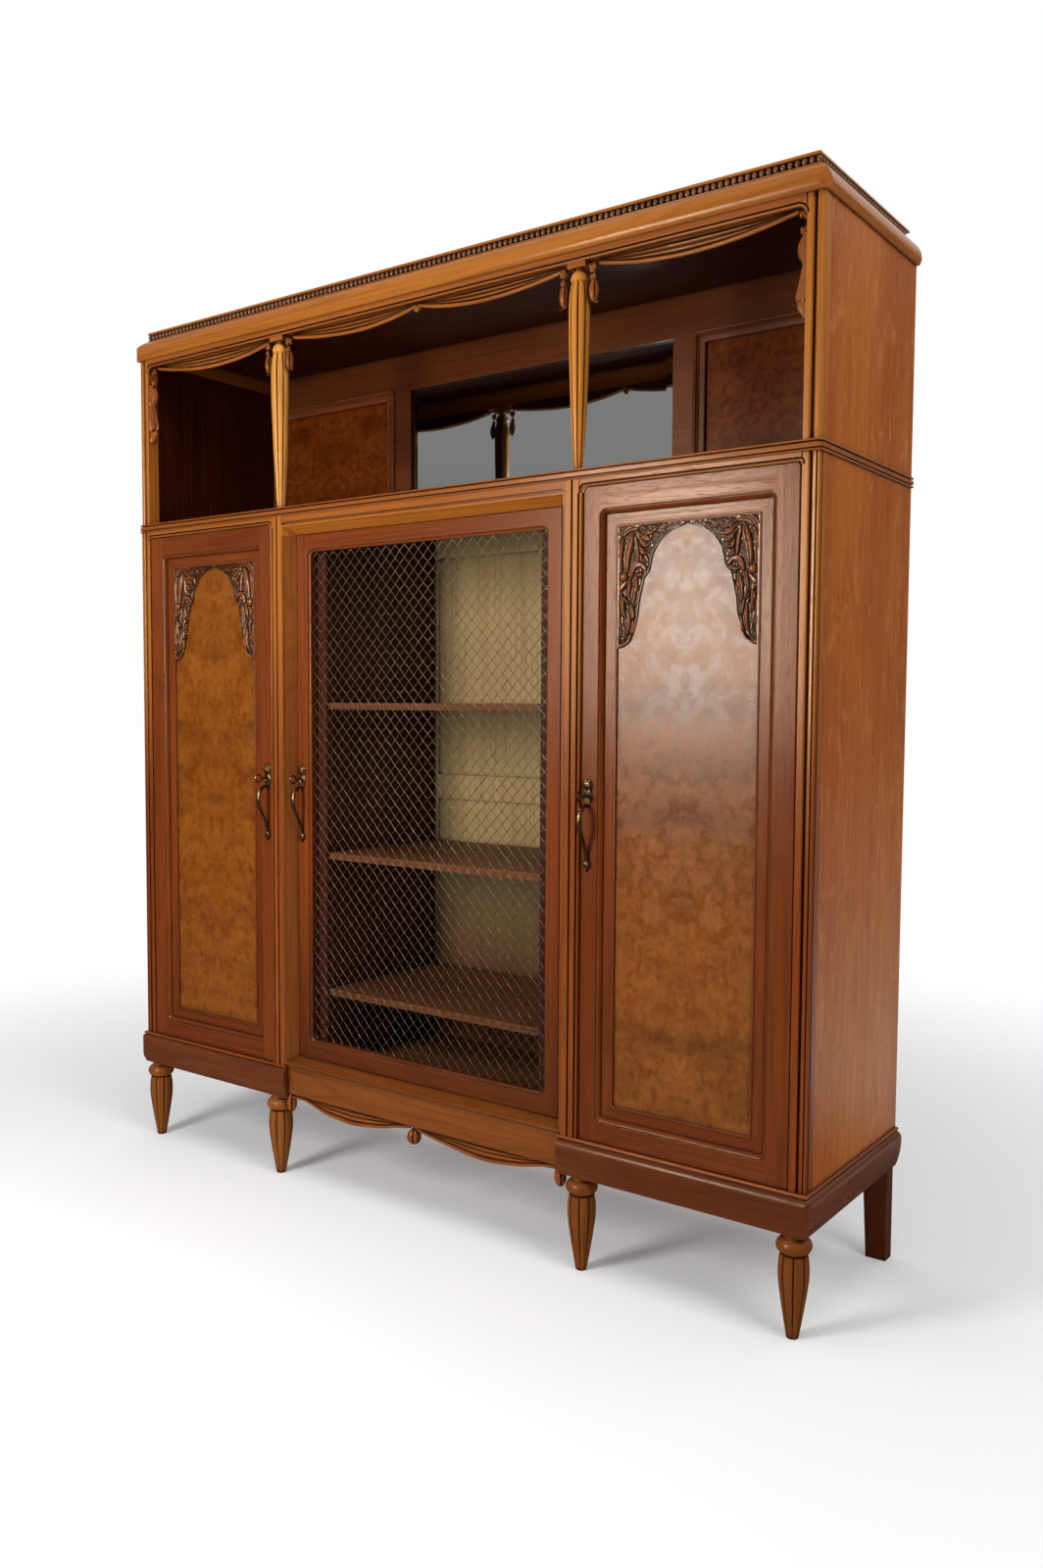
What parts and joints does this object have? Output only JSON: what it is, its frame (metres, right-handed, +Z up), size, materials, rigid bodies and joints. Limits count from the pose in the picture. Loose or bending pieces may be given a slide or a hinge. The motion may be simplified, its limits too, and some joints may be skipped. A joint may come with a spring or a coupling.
{
  "type": "bookcase",
  "caption": "Bookcase with two panelled cupboards, a wire-fronted centre door, an open niche with a mirror back above, and turned legs.",
  "frame": {"origin": "on the floor, at the centre of the overall box seen from above", "axes": "+X to the right seen from the front, +Y to the back, +Z up"},
  "size_m": [1.826, 0.4835, 2.031],
  "materials": {
    "mahogany": "french polished, satin",
    "honey_mahogany": "french polished, satin",
    "side_veneer": "french polished veneer",
    "carved_wood": "carved and polished",
    "dark_interior": "stained, matt",
    "pale_board": "plain",
    "burl_veneer": "french polished burl",
    "mirror_glass": "bevelled",
    "bronze": "patinated",
    "steel": "plain",
    "wire": "aged wire"
  },
  "bodies": {
    "carcass": {"side_left": "side_veneer", "side_right": "side_veneer", "corner_post_left": "honey_mahogany", "corner_post_right": "honey_mahogany", "mullion_left": "mahogany", "mullion_right": "mahogany", "waist_board": "honey_mahogany", "cornice": "honey_mahogany", "top_board": "dark_interior", "crest_rail": "carved_wood", "bead_strings": "carved_wood", "head_rail": "mahogany", "door_head_rails": "mahogany", "centre_surround": "mahogany", "centre_sill": "mahogany", "apron": "mahogany", "apron_drapery": "carved_wood", "plinth_left": "mahogany", "plinth_right": "mahogany", "bottom_board": "pale_board", "partitions": "dark_interior", "jamb_boards": "dark_interior", "back_frame": "pale_board", "back_panels": "pale_board", "shelves": "dark_interior", "shelf_pegs": "steel", "niche_frame": "dark_interior", "niche_mirror": "mirror_glass", "niche_panels": "burl_veneer", "column_left": "carved_wood", "column_right": "carved_wood", "niche_drapery": "carved_wood", "front_legs": "carved_wood", "rear_legs": "mahogany", "pivot_plates": "steel"},
    "door_left": {"door_left_frame": "mahogany", "door_left_moulding": "carved_wood", "door_left_panel": "burl_veneer", "door_left_pull": "bronze", "door_left_lock": "steel", "door_left_pivots": "steel"},
    "key_left": {"door_left_key": "bronze"},
    "bolt_left": {"door_left_bolt": "steel"},
    "door_right": {"door_right_frame": "mahogany", "door_right_moulding": "carved_wood", "door_right_panel": "burl_veneer", "door_right_pull": "bronze", "door_right_lock": "steel", "door_right_pivots": "steel"},
    "key_right": {"door_right_key": "bronze"},
    "bolt_right": {"door_right_bolt": "steel"},
    "door_centre": {"door_centre_frame": "mahogany", "door_centre_lip": "mahogany", "door_centre_grille": "wire", "door_centre_pull": "bronze", "door_centre_lock": "steel", "door_centre_pivots": "steel"},
    "key_centre": {"door_centre_key": "bronze"},
    "bolt_centre": {"door_centre_bolt": "steel"}
  },
  "joints": [
    {"name": "door_left_hinge", "type": "hinge", "parent": "carcass", "child": "door_left", "pos_m": [-0.8585, -0.19575, 0.9], "axis": [0, 0, -1], "range_deg": [0, 100]},
    {"name": "door_centre_hinge", "type": "hinge", "parent": "carcass", "child": "door_centre", "pos_m": [0.3575, -0.17425, 0.9], "axis": [0, 0, 1], "range_deg": [0, 100]},
    {"name": "door_right_hinge", "type": "hinge", "parent": "carcass", "child": "door_right", "pos_m": [0.8585, -0.19575, 0.9], "axis": [0, 0, 1], "range_deg": [0, 100]},
    {"name": "key_left_turn", "type": "hinge", "parent": "door_left", "child": "key_left", "pos_m": [-0.4445, -0.20175, 0.938], "axis": [0, 1, 0], "range_deg": [0, 90]},
    {"name": "bolt_left_slide", "type": "slide", "parent": "door_left", "child": "bolt_left", "axis": [1, 0, 0], "range_m": [0, 0.008]},
    {"name": "key_centre_turn", "type": "hinge", "parent": "door_centre", "child": "key_centre", "pos_m": [-0.3525, -0.18025, 0.938], "axis": [0, -1, 0], "range_deg": [0, 90]},
    {"name": "bolt_centre_slide", "type": "slide", "parent": "door_centre", "child": "bolt_centre", "axis": [-1, 0, 0], "range_m": [0, 0.008]},
    {"name": "key_right_turn", "type": "hinge", "parent": "door_right", "child": "key_right", "pos_m": [0.4445, -0.20175, 0.938], "axis": [0, -1, 0], "range_deg": [0, 90]},
    {"name": "bolt_right_slide", "type": "slide", "parent": "door_right", "child": "bolt_right", "axis": [-1, 0, 0], "range_m": [0, 0.008]}
  ],
  "couplings": [
    {"joint": "key_left_turn", "follows": "bolt_left_slide", "rad_per_m": 187.5},
    {"joint": "key_centre_turn", "follows": "bolt_centre_slide", "rad_per_m": 187.5},
    {"joint": "key_right_turn", "follows": "bolt_right_slide", "rad_per_m": 187.5}
  ]
}
